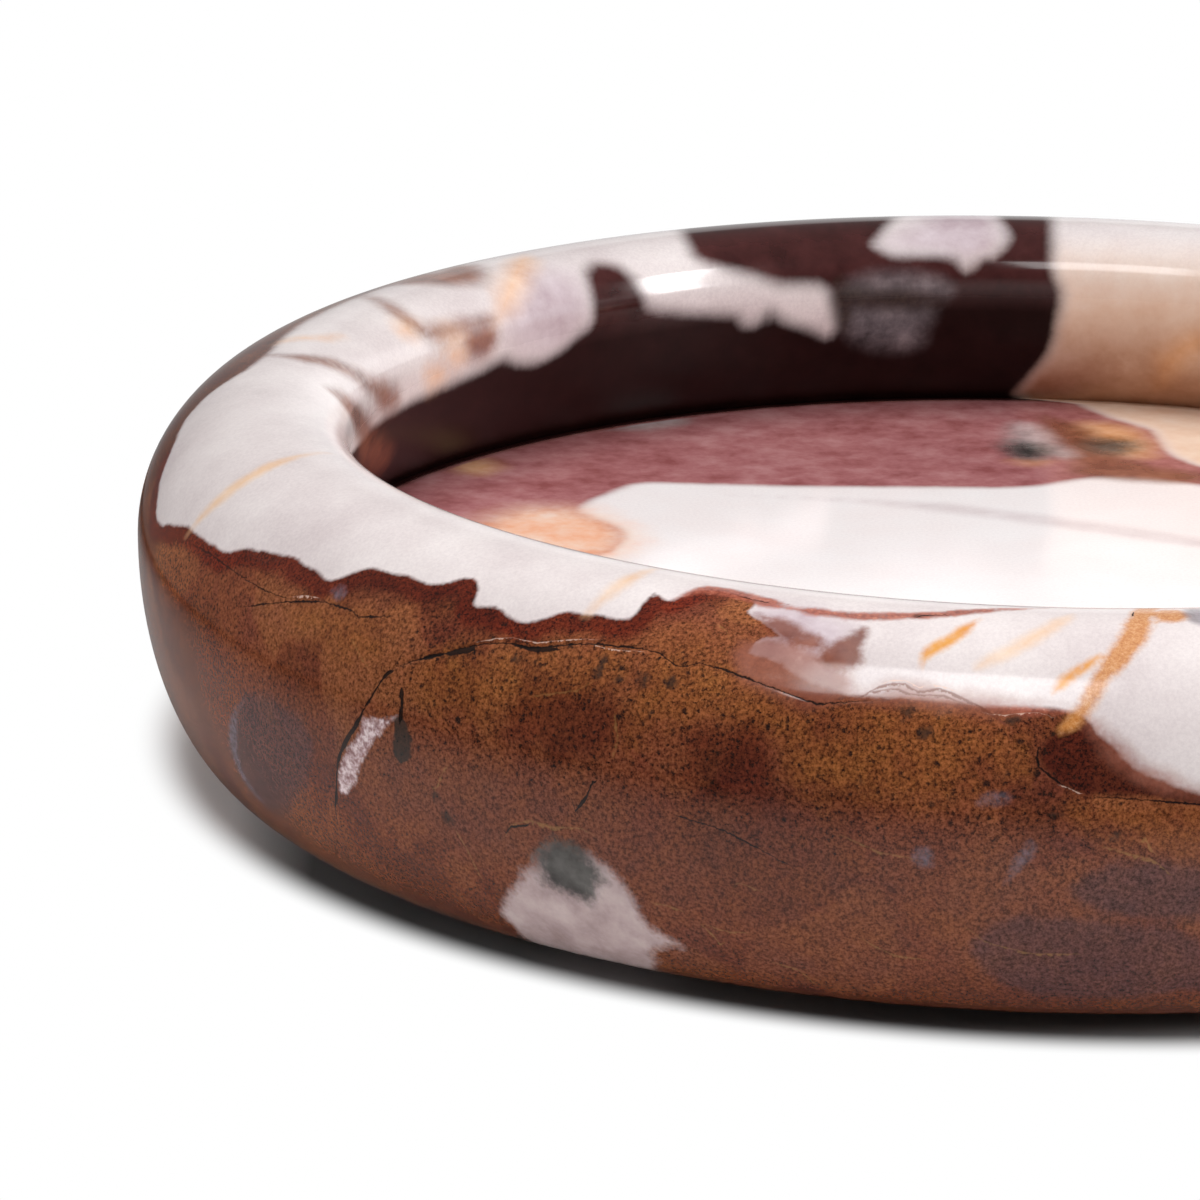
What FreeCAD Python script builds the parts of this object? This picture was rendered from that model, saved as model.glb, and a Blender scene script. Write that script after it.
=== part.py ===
import FreeCAD, Part
import math
import os

# Ring dish: a shallow round dish cut and polished from one block of stone.
# It stands on small self-adhesive bumper feet stuck to its flat base.
# Millimetres, +Z up, origin on the table under the centre of the dish.

# Stone dish
outer_diameter = 100.0    # across the belly, the widest place
stone_height = 20.0       # flat base to crown, cut from a 20 mm slab
shoulder_radius = 7.6     # round shoulder from the belly up to the crown
base_inset = 6.0          # belly to the edge of the flat base
rim_width = 11.6          # belly to the mouth, the narrowest place of the hollow
lip_drop = 3.2            # crown down to the mouth
undercut = 3.5            # how far the floor runs back under the mouth
floor_thickness = 8.8     # stone left under the hollow

# Bumper feet
foot_count = 4
foot_diameter = 9.0       # where it sticks to the stone
foot_height = 1.2
foot_taper = 0.4          # how far the moulded side draws in towards the table
foot_inset = 10.0         # edge of the flat base to the middle of a foot

# Heights above the table
base_height = foot_height
crown_height = base_height + stone_height
belly_height = crown_height - shoulder_radius
mouth_height = crown_height - lip_drop
floor_height = base_height + floor_thickness

# Radii about the axis
outer_radius = outer_diameter / 2
base_radius = outer_radius - base_inset
crown_radius = outer_radius - shoulder_radius
mouth_radius = outer_radius - rim_width
floor_radius = mouth_radius + undercut
foot_radius = foot_diameter / 2
foot_circle_radius = base_radius - foot_inset


def at(radius, height):
    return FreeCAD.Vector(radius, 0, height)


def line(start, end):
    return Part.LineSegment(start, end).toShape()


def quarter_ellipse(start, corner, end):
    # Leaves start towards corner and arrives at end from corner.
    curve = Part.BezierCurve()
    curve.setPoles([start, corner, end])
    curve.setWeight(2, math.sqrt(0.5))
    return curve.toShape()


def arc_about(centre, radius, start, end):
    # Short arc from start to end: its middle point lies on the line that halves the angle.
    halfway = (start - centre) + (end - centre)
    middle = centre + halfway.normalize() * radius
    return Part.Arc(start, middle, end).toShape()


def undercut_wall(mouth, floor_edge):
    # Leaves the mouth upright and bends back over the floor.
    drop = mouth.z - floor_edge.z
    wall_radius = (undercut ** 2 + drop ** 2) / (2 * undercut)
    centre = mouth + FreeCAD.Vector(wall_radius, 0, 0)
    return arc_about(centre, wall_radius, mouth, floor_edge)


def make_stone_dish():
    base_centre = at(0, base_height)
    base_edge = at(base_radius, base_height)
    belly = at(outer_radius, belly_height)
    crown = at(crown_radius, crown_height)
    mouth = at(mouth_radius, mouth_height)
    floor_edge = at(floor_radius, floor_height)
    floor_centre = at(0, floor_height)
    section = [
        line(base_centre, base_edge),
        quarter_ellipse(base_edge, at(outer_radius, base_height), belly),
        arc_about(at(crown_radius, belly_height), shoulder_radius, belly, crown),
        quarter_ellipse(crown, at(mouth_radius, crown_height), mouth),
        undercut_wall(mouth, floor_edge),
        line(floor_edge, floor_centre),
        line(floor_centre, base_centre),
    ]
    face = Part.Face(Part.Wire(section))
    return face.revolve(FreeCAD.Vector(0, 0, 0), FreeCAD.Vector(0, 0, 1), 360)


def make_bumper_foot(angle):
    middle = FreeCAD.Vector(foot_circle_radius, 0, 0)
    foot = Part.makeCone(foot_radius - foot_taper, foot_radius, foot_height, middle)
    foot.rotate(FreeCAD.Vector(0, 0, 0), FreeCAD.Vector(0, 0, 1), angle)
    return foot


def main():
    os.makedirs("parts", exist_ok=True)
    nodes = {"stone_dish": make_stone_dish()}
    for number in range(foot_count):
        nodes[f"bumper_foot_{number + 1}"] = make_bumper_foot(360 / foot_count * number)
    for name, shape in nodes.items():
        shape.exportStep(f"parts/{name}.step")
        print(name, "valid" if shape.isValid() else "not valid", round(shape.Volume, 2), "mm3")


main()
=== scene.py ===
import math
import bpy
import numpy as np
from mathutils import Euler, Matrix, Quaternion, Vector


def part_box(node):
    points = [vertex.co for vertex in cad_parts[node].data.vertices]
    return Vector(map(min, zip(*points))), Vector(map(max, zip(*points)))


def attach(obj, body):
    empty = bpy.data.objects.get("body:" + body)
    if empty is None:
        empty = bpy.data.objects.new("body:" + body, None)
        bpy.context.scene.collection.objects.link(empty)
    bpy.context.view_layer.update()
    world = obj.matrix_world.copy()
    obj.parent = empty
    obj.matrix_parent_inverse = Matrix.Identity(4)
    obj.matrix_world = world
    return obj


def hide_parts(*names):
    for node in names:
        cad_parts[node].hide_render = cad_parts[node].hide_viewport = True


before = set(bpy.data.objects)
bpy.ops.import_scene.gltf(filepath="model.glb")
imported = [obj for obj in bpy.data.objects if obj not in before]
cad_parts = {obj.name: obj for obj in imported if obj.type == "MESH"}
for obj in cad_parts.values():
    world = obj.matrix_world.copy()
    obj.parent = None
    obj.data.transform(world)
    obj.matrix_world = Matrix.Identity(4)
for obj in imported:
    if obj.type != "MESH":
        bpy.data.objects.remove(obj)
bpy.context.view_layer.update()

# Ring dish of polished breccia on four clear bumper feet. Lengths are millimetres until a mesh is made.
mm = 0.001
# Settings that many nodes share
smooth = {"interpolation_type": "SMOOTHSTEP"}
colourMix = {"data_type": "RGBA"}
levelMix = {"data_type": "FLOAT"}
placeMix = {"data_type": "VECTOR"}
minus = {"operation": "SUBTRACT"}
times = {"operation": "MULTIPLY"}
timesPlus = {"operation": "MULTIPLY_ADD"}
plainWhite = (1, 1, 1, 1)


def hexToLinear(text):
    parts = [int(text[i:i + 2], 16) / 255 for i in (1, 3, 5)]
    return [p / 12.92 if p <= 0.04045 else ((p + 0.055) / 1.055) ** 2.4 for p in parts] + [1.0]


def addNode(tree, kind, settings=None, inputs=None, stops=None, curve=None):
    # Inputs go by name or number, or as a list of the first ones. A node stands for its first output.
    node = tree.nodes.new("ShaderNode" + kind)
    for name, value in (settings or {}).items():
        setattr(node, name, value)
    for name, value in inputs.items() if isinstance(inputs, dict) else enumerate(inputs or []):
        if isinstance(value, bpy.types.Node):
            value = next(socket for socket in value.outputs if socket.enabled)
        if isinstance(value, bpy.types.NodeSocket):
            tree.links.new(value, node.inputs[name])
        else:
            node.inputs[name].default_value = value
    for i, (place, colour) in enumerate(stops or []):
        marks = node.color_ramp.elements
        mark = marks[i] if i < 2 else marks.new(place)
        mark.position = place
        mark.color = hexToLinear(colour)
    for i, (place, level) in enumerate(curve or []):
        points = node.mapping.curves[0].points
        point = points[-1] if i == len(curve) - 1 else points[0] if i == 0 else points.new(place, level)
        point.location = place, level
        point.handle_type = "VECTOR"
    if curve:
        node.mapping.update()
    return node


def newTree(owner):
    owner.use_nodes = True
    owner.node_tree.nodes.clear()
    return owner.node_tree


def makeObject(name, verts, faces, material):
    mesh = bpy.data.meshes.new(name)
    mesh.from_pydata(verts, [], faces)
    mesh.polygons.foreach_set("use_smooth", [True] * len(mesh.polygons))
    mesh.materials.append(material)
    mesh.update()
    piece = bpy.data.objects.new(name, mesh)
    bpy.context.scene.collection.objects.link(piece)
    return piece


# The stone: one turned section, ground and polished all over
stoneShape = {
    "shoulderRadius": 7.6,   # belly up to the crown
    "baseInset": 6.0,        # belly to the edge of the flat base
    "rimWidth": 11.6,        # belly to the mouth
    "lipDrop": 3.2,          # crown down to the mouth
    "undercut": 3.5,         # floor running back under the mouth
    "floorThickness": 8.8,
    "bendSteps": 90,         # points on each bend of the section
    "wallSteps": 60,         # and on the undercut wall
    "ringStep": 0.42,        # mesh rings along the rim
    "floorStep": 1.0,        # mesh rings on the floor
    "baseRings": [6, 14, 22, 30, 36, 40, 42.4, 43.5],    # mesh rings under the base
    "fineStep": 0.42,        # degrees, on the side with the finest markings
    "coarseStep": 0.85,      # degrees, elsewhere
    "fineFrom": 184.0,
    "fineTo": 282.0,
}
# The open crack round the front of the wall, as (degrees, millimetres along the section)
crack = {
    "line": [(223.5, 14.6), (224, 15.2), (224.8, 16.4), (225.7, 17.2), (227.3, 17.9), (228.8, 18.4),
             (230.2, 19), (231.7, 19.5), (233.1, 19.8), (235, 19.8), (237.2, 20.4), (239, 20.7), (242, 20.9),
             (243.2, 20.8), (244.6, 20.2), (245.9, 20.6), (247.6, 20.4), (249.5, 20), (251.5, 19.6),
             (253.4, 19.2), (255.3, 19.5), (257.1, 19.7), (258, 20.1)],
    "width": 0.24,
    "depth": 0.09,
    "rings": [-1.2, -0.6, -0.26, 0, 0.26, 0.6, 1.2],     # mesh rings across it, in its own widths
    "clear": 0.1,            # mm without other rings beside them
    "reach": 7.0,            # mm over which the rings of the wall bend towards it
    "runOut": 6.0,           # degrees past its ends in which they straighten
    "opens": 3.0,            # degrees in which it gets deep at the left end
    "closes": 28.0,          # and shallow at the right end
    "wear": 0.35,            # share of the depth that comes and goes in two uneven waves
    "waves": (3.1, 1.3),
}


def sectionCurve(shape):
    low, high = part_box("stone_dish")
    base, crown = low.z / mm, high.z / mm
    outer = (high.x - low.x) / 2 / mm
    belly = crown - shape["shoulderRadius"]
    crownRadius = outer - shape["shoulderRadius"]
    mouthRadius, mouth = outer - shape["rimWidth"], crown - shape["lipDrop"]
    floor = base + shape["floorThickness"]
    turn = np.linspace(0, math.pi / 2, shape["bendSteps"])
    lowerWall = np.stack([outer - shape["baseInset"] * (1 - np.sin(turn)),
                          belly - (belly - base) * np.cos(turn)])
    shoulder = np.stack([crownRadius + shape["shoulderRadius"] * np.cos(turn),
                         belly + shape["shoulderRadius"] * np.sin(turn)])
    lip = np.stack([crownRadius - (crownRadius - mouthRadius) * np.sin(turn),
                    mouth + shape["lipDrop"] * np.cos(turn)])
    # The undercut wall is an arc that leaves the mouth upright and ends in a sharp corner on the floor.
    drop = mouth - floor
    wallRadius = (shape["undercut"] ** 2 + drop ** 2) / (2 * shape["undercut"])
    wallCentre = mouthRadius + wallRadius
    down = np.linspace(0, math.asin(drop / wallRadius), shape["wallSteps"])
    wall = np.stack([wallCentre - wallRadius * np.cos(down), mouth - wallRadius * np.sin(down)])
    radius, height = np.concatenate([lowerWall, shoulder[:, 1:], lip[:, 1:], wall[:, 1:]], axis=1)
    along = np.concatenate([[0], np.cumsum(np.hypot(np.diff(radius), np.diff(height)))])
    return {"along": along, "radius": radius, "height": height, "floor": floor, "base": base}


def spinAngles(shape):
    fine = np.arange(shape["fineFrom"], shape["fineTo"], shape["fineStep"])
    coarse = np.arange(shape["fineTo"], shape["fineFrom"] + 360, shape["coarseStep"])
    return np.concatenate([fine, coarse])


def stoneSpots(shape, curve):
    # Every mesh point on the rim: its angle, its place along the section, its radius and height.
    angles = spinAngles(shape)
    length = curve["along"][-1]
    rows = np.linspace(0, length, int(length / shape["ringStep"]))
    home = np.mean([s for a, s in crack["line"]])
    near = np.array(crack["rings"]) * crack["width"]
    rows = np.sort(np.concatenate([rows[abs(rows - home) > near[-1] + crack["clear"]], home + near]))
    crackAngle, crackPlace = np.array(crack["line"]).T
    fromLeft, fromRight = angles - crackAngle[0], crackAngle[-1] - angles
    fade = np.clip(1 + np.minimum(fromLeft, fromRight) / crack["runOut"], 0, 1)
    lift = np.interp(angles, crackAngle, crackPlace - home) * fade
    pull = np.clip(1 - ((rows - home) / crack["reach"]) ** 2, 0, 1) ** 2
    along = rows[:, None] + pull[:, None] * lift[None]
    radius = np.interp(along, curve["along"], curve["radius"])
    height = np.interp(along, curve["along"], curve["height"])
    # The groove itself: the row on the crack is pushed into the stone.
    outward, upward = np.gradient(radius, axis=0), np.gradient(height, axis=0)
    size = np.hypot(outward, upward)
    groove = np.clip(1 - abs(rows - home) / (crack["width"] / 2), 0, 1)[:, None]
    ends = np.clip(np.minimum(fromLeft / crack["opens"], fromRight / crack["closes"]), 0, 1)
    short, long = crack["waves"]
    worn = 1 - crack["wear"] + crack["wear"] * np.sin(angles * short) * np.sin(angles * long + 1)
    sink = crack["depth"] * groove * (ends * worn)[None]
    return angles, along, radius - sink * upward / size, height + sink * outward / size


def spinStone(shape):
    # Rows of points from the base, up the wall, over the rim and in along the floor
    curve = sectionCurve(shape)
    angles, along, radius, height = stoneSpots(shape, curve)
    baseRadius, floorRadius = curve["radius"][0], curve["radius"][-1]
    baseRings = [r for r in shape["baseRings"] if r < baseRadius]
    floorRings = np.linspace(floorRadius, 0, int(floorRadius / shape["floorStep"]))[1:-1]
    flat = np.ones_like(angles)
    rows = [(flat * r, flat * curve["base"], flat * (r - baseRadius), flat < 0) for r in baseRings]
    rows += [(radius[i], height[i], along[i], flat < 0) for i in range(len(along))]
    rows += [(flat * r, flat * curve["floor"], flat * 0, flat > 0) for r in floorRings]
    count = len(angles)
    r, z, s, onFloor = (np.concatenate(part) for part in zip(*rows))
    spin = np.tile(np.radians(angles), len(rows))
    # The last two points are the middles of the base and of the floor.
    spots = {
        "x": np.concatenate([r * np.cos(spin), [0, 0]]),
        "y": np.concatenate([r * np.sin(spin), [0, 0]]),
        "z": np.concatenate([z, [curve["base"], curve["floor"]]]),
        "along": np.concatenate([s, [-baseRadius, 0]]),
        "angle": np.concatenate([np.tile(angles, len(rows)), [0, 0]]),
        "radius": np.concatenate([r, [0, 0]]),
        "onFloor": np.concatenate([onFloor, [False, True]]),
    }
    last = (len(rows) - 1) * count
    underCentre, floorCentre = len(rows) * count, len(rows) * count + 1
    after = [(j + 1) % count for j in range(count)]
    faces = [(k + j, k + n, k + count + n, k + count + j)
             for k in range(0, last, count) for j, n in enumerate(after)]
    for j, n in enumerate(after):
        faces.append((n, j, underCentre))
        faces.append((last + j, last + n, floorCentre))
    cornerRow = len(rows) - len(floorRings) - 1
    corner = cornerRow * count, (cornerRow + 1) * count
    return spots, faces, corner


# Markings of the stone. Rim outlines are (degrees round the dish, millimetres along the section from the
# base edge: belly 14.9, crown 26.8, mouth 32.5, floor corner 41). Floor outlines are (x, y) in millimetres.
# First the lower edge of the white, right round the wall.
whiteEdge = [(-80, 14.6), (-72, 12.2), (-63, 9.4), (-55, 8.2), (-46, 8.7), (-38, 10.6), (-30, 13.2),
             (-21, 15.6), (-12, 16.3), (-4, 15), (4, 12.4), (12, 9.6), (20, 8.6), (27, 10), (33, 13),
             (40, 16.6), (48, 18.6), (56, 17.6), (63, 15.2), (70, 13.6), (78, 14.2), (83, 15.8),
             (86, 18.5), (92, 20), (100, 20.5), (118, 20), (125, 20.6), (131, 23), (135, 24.5),
             (140, 24.9), (150, 25.1), (160, 25), (165, 25.2), (170, 25.4), (175, 24.6), (178, 22.9),
             (181, 21.4), (185, 20.5), (188, 19.3), (190, 18.5), (193, 17.6), (196, 18.3), (199, 18.9),
             (203, 19), (206, 19.1), (208, 19.9), (211, 20.3), (213, 20.5), (216, 20.4), (217.5, 20.2),
             (219, 21), (220, 21.6), (223, 21.8), (225, 21.8), (226.5, 22.1), (228, 22.9), (229, 22.4),
             (229.5, 21.3), (231, 21.5), (233, 21), (234.5, 21.3), (236, 22.1), (238, 22.3), (240.2, 22.3),
             (240.6, 23), (240.7, 24.6), (241.3, 24.3), (242.2, 24.1), (242.8, 24.8), (243.3, 25.4),
             (244.3, 25.7), (245.6, 25.6), (247, 25.3), (247.6, 24.8), (247.4, 24.2), (249, 23.4),
             (250.2, 22.6), (250.6, 21.4), (251.4, 20.7), (252.9, 20.2), (255, 19.8), (256.8, 19.8),
             (258.5, 20), (260, 20), (261.5, 19.9), (262.6, 19.7), (264.9, 19.7), (267, 19.7),
             (268.2, 19.4), (268.9, 19), (269.4, 18.4), (270.4, 17.7), (271.3, 16.9), (272.8, 16.3),
             (274.4, 15.8), (280, 14.6)]
# All is white except where it is cut away to the jasper: the lower wall right round, the block over the far
# rim and the inner wall, and a block on the side that the photo leaves out.
lapFrom, lapTo = 260, 280    # degrees: this stretch comes again a turn earlier, so that the ends meet
belowBase = -60              # mm
rimCuts = [
    [(a - 360, s) for a, s in whiteEdge if lapFrom <= a < lapTo] + whiteEdge
    + [(lapTo, belowBase), (lapFrom - 360, belowBase)],
    [(85.8, 17), (86, 24), (85.8, 31), (84.8, 33), (85.6, 37), (88.5, 41), (89, 47), (198, 47), (197, 43),
     (193, 39.5), (188, 36.5), (182, 34.5), (177, 33.9), (171, 34.3), (165, 34.1), (158, 34.2),
     (150, 34.2), (145, 34), (142, 33.7), (140, 34.2), (137.5, 34.5), (135, 34.2), (133, 33.5),
     (131.2, 32.8), (130.8, 31), (130.3, 29.7), (128.5, 29), (126.5, 29.6), (125.3, 31), (124.6, 32.4),
     (122, 32.9), (119, 33.3), (115.5, 33.6), (114.5, 34.3), (113.3, 34.4), (112, 33.6), (110.5, 34.3),
     (108, 35), (106.2, 35.6), (105.6, 34.6), (106.3, 33), (107.5, 32.3), (111, 32.1), (114.5, 31.2),
     (117.5, 30.4), (118.8, 29.5), (118, 27), (116.5, 24.5), (115.5, 22), (115.5, 17)],
    [(-12, 14), (-9, 19), (-4, 23), (-2, 27), (-6, 30.5), (-8, 34), (-4, 37.5), (2, 40), (4, 47), (34, 47),
     (30, 41), (24, 37), (20, 33), (17, 30), (18, 26), (15, 22), (16, 17), (14, 8)],
]
rimMarks = {
    # white islands inside the jasper
    "calcite": [
        [(90.3, 15), (90.5, 22), (90.6, 26.9), (89.9, 29.4), (91.3, 30.6), (92.4, 30.7), (93.6, 31.5),
         (94.7, 30.7), (97.4, 30.5), (100.1, 30.5), (101.7, 29.8), (100.9, 29.1), (99.1, 26.7), (97.4, 24),
         (96.5, 21), (96, 15)],
        [(248.6, 21.5), (249, 22.4), (250.2, 22.7), (251.6, 22.2), (252.7, 21.8), (252.4, 21.3),
         (250.5, 21.2)],
    ],
    # dark jasper of the far block and the inner wall
    "maroon": [
        [(83, 14), (83, 47), (200, 47), (196, 36), (182, 33), (160, 33), (142, 30.5), (131, 28), (122, 29),
         (119.5, 22), (119, 14)],
        [(-11, 26), (-9, 47), (36, 47), (27, 36), (20, 28), (6, 25)],
    ],
    # cream calcite on the right of the far wall; its foot is browner, part tone and part painted shade
    "cream": [[(14, 31.4), (30, 48), (93, 48), (90, 35), (88, 31.4)]],
    "tan": [[(20, 37), (30, 50), (93, 50), (90, 37)]],
    # mauve fragments in the jasper
    "clast": [
        [(207.6, 9), (209.1, 11), (211.4, 12.6), (214.5, 13.2), (217.4, 12.6), (218.2, 11.2), (217, 9.1),
         (213.6, 6.5), (211.3, 5.5), (208.7, 6), (207.5, 7.2)],
        [(262.5, 6.5), (264, 8.6), (267, 9.2), (271, 8.8), (274.5, 8.2), (277, 6.5), (276, 4.5),
         (271, 3.6), (266, 4)],
        [(268, 10.5), (270, 12), (273, 12.2), (277, 11.5), (278, 9.5), (274, 9), (270, 9.4)],
    ],
    # golden clouds
    "gold": [
        [(228.2, 18), (231, 18.9), (237, 19.7), (241.6, 20.3), (241.6, 18.4), (238, 17.6), (234, 16.4),
         (230.4, 15.6), (228.2, 16)],
        [(244.2, 21.4), (249.5, 19.5), (254.7, 19), (258, 19.4), (262.7, 18.9), (265.4, 17.6),
         (264.9, 15.9), (259, 15), (252.2, 15.4), (250.8, 17.9), (246, 18.2), (242.6, 16.4),
         (242.6, 19.6)],
        [(216.5, 17.8), (216.8, 18.8), (220, 19.2), (222.4, 19), (223.7, 18.2), (221.7, 17.2),
         (218.4, 17.1)],
        [(268.5, 14.8), (276, 15), (279, 14), (276, 13), (270, 13.6)],
    ],
    # dark clouds, and the dark red band under the white
    "shade": [
        [(245.8, 15.5), (246.4, 17), (248.4, 17.6), (250.4, 17.4), (251, 16), (250.6, 14.6), (248.4, 14.2),
         (246.4, 14.6)],
        [(234.2, 15.2), (235, 17.4), (238.9, 18.3), (241, 17.9), (241.9, 16.7), (240.8, 15.2),
         (237, 14.8)],
        [(207.5, 19.9), (208, 19.2), (213, 19.3), (219, 19.5), (226, 20.6), (229.5, 20.6), (234, 20.4),
         (238, 21.4), (241, 22.4), (240.8, 25), (237, 22.9), (233, 21.9), (229.4, 23.4), (224, 22.4),
         (219, 21.8), (216, 21), (211, 21)],
    ],
    # dark red wedge under the white at the right, and the ochre band that ends on it
    "wine": [
        [(266.1, 17.2), (266.1, 17.9), (267, 18.8), (268.4, 20), (270.2, 19), (272, 17.6), (274.4, 16.7),
         (279, 15.6), (279, 14.9), (275, 15.1), (272.9, 15.4), (270.2, 15.5), (268.8, 15.5), (267.6, 16),
         (266.9, 16.4), (266.3, 16.9)],
    ],
    "ochre": [
        [(267, 18.6), (267.9, 19.7), (268.3, 20.2), (268.9, 21.3), (269.3, 21.9), (270.3, 23.3),
         (271, 24.5), (271.9, 26.6), (272.4, 28), (273, 30), (274.6, 30), (273.8, 27.6), (273.2, 26.2),
         (272.5, 24.2), (271.8, 23.2), (270.6, 21.9), (269.9, 21.2), (269.3, 20.1), (268.5, 19.2),
         (267.9, 18.8)],
        [(273.3, 27), (275, 27.2), (275.2, 25.8), (273.4, 25.6)],
    ],
    # slate-blue flecks
    "fleck": [
        [(275.5, 27.4), (276.7, 27.4), (276.4, 25.2), (275.4, 25.6)],
        [(262.8, 15.2), (263.6, 15.5), (264.6, 15.5), (264.4, 15.1), (262.9, 14.9)],
        [(259.4, 12.3), (260.2, 12.5), (260.3, 11.6), (259.5, 11.7)],
        [(264.4, 10.8), (264.8, 11.9), (265.7, 13.1), (266, 12.7), (265, 11.6)],
        [(218.1, 19.6), (218.6, 20.1), (219.4, 20), (219.2, 19.5)],
    ],
    # red-brown stains in the white
    "stain": [
        [(255, 23.9), (255.4, 23.4), (255.3, 22.5), (255.3, 21.6), (254.5, 21.1), (253.5, 21.2),
         (252.9, 21.6), (253.2, 22.2), (254, 23.1)],
        [(147.2, 31.4), (144.7, 31.2), (143, 31.8), (143.4, 32.8), (144.7, 33.3), (147.1, 33),
         (147.9, 32.1)],
    ],
    # pale triangle at the foot of the wall
    "quartz": [
        [(230.5, -8), (231, -2), (232.4, 2), (232.2, 4), (232.5, 5), (233.2, 6.2), (234.5, 7.3),
         (235.6, 8.5), (236.3, 9.3), (237.6, 9.8), (239, 9.6), (240, 9.8), (241.3, 9), (242.2, 8.1),
         (242.6, 6.8), (243, 6.1), (244, 5.6), (245, 4.9), (244, 4.6), (243, 4.2), (242.5, 3), (241.3, 0),
         (241, -8)],
    ],
    # grey patch on the far wall
    "slate": [
        [(104.2, 33.8), (100.6, 33.9), (97, 34.1), (97.5, 35.3), (97.9, 36.5), (101, 36.6), (103.5, 35.9),
         (104.5, 34.7)],
        [(103.9, 32.2), (99.9, 31.9), (96.3, 32.4), (95.5, 33), (99.9, 32.7), (103.8, 32.6)],
    ],
    # pale crescent beside the crack
    "chalk": [
        [(223.4, 14.1), (224.6, 14.4), (226.4, 14.8), (225.7, 14.2), (224.2, 13), (223, 11.7), (222, 10.2),
         (220.8, 9.2), (220.3, 9.6), (220.6, 10.5), (221.7, 12), (222.9, 13.1)],
    ],
    # dark patch in the triangle
    "ash": [
        [(236.2, 9.2), (237.4, 9.9), (238.8, 9.9), (239.8, 9.2), (240.2, 8.2), (239, 7.2), (237.2, 7.2),
         (236.2, 8.2)],
    ],
    # lilac and rust bloom in the white
    "lilac": [
        [(139.7, 29.8), (135.7, 28.7), (132.4, 29), (131, 30.7), (131.1, 32.4), (133, 33.8), (136.2, 34.4),
         (139.8, 33.7), (142.3, 32.2), (141.7, 30.9)],
        [(90, 20), (90.5, 31), (95, 31.4), (101.5, 30), (97.5, 27), (97, 20)],
        [(247.6, 23.6), (248.8, 25.3), (252, 25.2), (254.6, 24), (254.4, 22.4), (252.6, 20.8),
         (248.4, 20.8)],
    ],
    "rust": [
        [(156.5, 29.8), (154, 29.2), (153.2, 30), (155.2, 30.6)],
        [(151.2, 31), (149.3, 30.9), (147.8, 31.6), (149.8, 31.9)],
        [(151.1, 32.1), (148.8, 32.1), (147.7, 32.8), (149.5, 33.2)],
        [(154.8, 32.8), (152.1, 32.9), (150.9, 33.6), (153.4, 33.8)],
    ],
    # brown stains on the far left of the rim and down the inner wall
    "umber": [
        [(142.6, 24.1), (142, 25.5), (139, 25), (138.6, 26.6), (140.7, 28.3), (142.9, 28.2), (145.3, 27.3),
         (147, 25.4)],
        [(176.9, 29.8), (174.9, 30.6), (173.2, 31.6), (168.6, 33.3), (164.8, 35.1), (170.7, 34.4),
         (175.1, 32.6), (177.3, 30.9)],
        [(166, 31.4), (161.5, 32.7), (159.9, 33.8), (163.4, 33.7), (166.4, 32.5)],
        [(170.5, 34.6), (163.9, 35.4), (158.7, 37.2), (157.6, 38.7), (163.8, 37.1)],
    ],
    # where the black specks crowd
    "speck": [[(226, 14), (227, 20.5), (240, 22), (252, 21), (266, 20), (270, 17), (268, 12.6), (245, 13)]],
    # where the white has a dark red band under it
    "ember": [[(186, 14), (188, 25), (215, 26), (243, 28), (244.5, 24), (243, 20), (238, 16), (210, 13)]],
}
floorCuts = [
    [(-48, 1), (-34, 3), (-27, 4.2), (-24.3, 5.6), (-23.2, 8), (-23, 10.5), (-24, 12.5), (-25.7, 14.8),
     (-25, 17), (-24, 18.6), (-22.8, 20.4), (-21.5, 21), (-18, 20.8), (-12, 20.6), (-5, 20.8), (-1, 20.8),
     (1, 21.3), (3, 22.5), (5, 23.6), (8, 23.4), (10.5, 22), (14, 21), (18, 22.5), (22, 26), (25, 31),
     (27, 36), (29, 46), (-48, 48)],
    [(48, -12), (38, -8), (31, -5), (28, 0), (27, 6), (30, 11), (37, 15), (48, 18)],
]
floorMarks = {
    "calcite": [
        [(5.5, 42), (6.6, 37.8), (9, 34.6), (9.6, 29.5), (11.1, 26.6), (14, 25.2), (17, 26), (19.5, 30),
         (20.5, 35), (21, 43)],
    ],
    "cream": [[(3.6, 44), (4, 34), (7, 30), (10, 24.5), (19, 24), (26, 32), (28, 44)]],
    "peach": [[(-34, 5), (-31, 13), (-28.5, 15.5), (-25, 14.8), (-22.6, 10.5), (-22.8, 7.5), (-24.5, 5)]],
    "rust": [
        [(3.9, 35.3), (5, 36.3), (6.5, 35.9), (8, 34.6), (8.7, 31), (8.3, 28.1), (6.7, 28), (4.8, 29.3),
         (4, 32.3)],
        [(0, 26.9), (1.2, 27.3), (2.1, 26.8), (1.2, 26.2)],
        [(-33.4, 25), (-32.8, 23), (-31.4, 22.6), (-30.6, 24.4), (-31.6, 26)],
    ],
    "ash": [
        [(-0.4, 30.7), (0.5, 31.4), (1.5, 31), (2.5, 29.7), (1.9, 27.9), (0.3, 28)],
        [(4.4, 31.4), (5.8, 32.2), (7.5, 31.7), (7.1, 29.2), (5.3, 29.1)],
    ],
    "quartz": [
        [(0.1, 34.8), (0.9, 36.2), (1.7, 35.8), (2.4, 34.2), (3, 31.2), (3.8, 29), (3.3, 27.6),
         (2.2, 27.9), (1.1, 27.5), (0.3, 28.3), (0, 31.1)],
    ],
    "shade": [[(-8.4, 28), (-7, 31), (-4, 31.2), (-2.6, 28.6), (-4, 26), (-7, 26)]],
}
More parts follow.
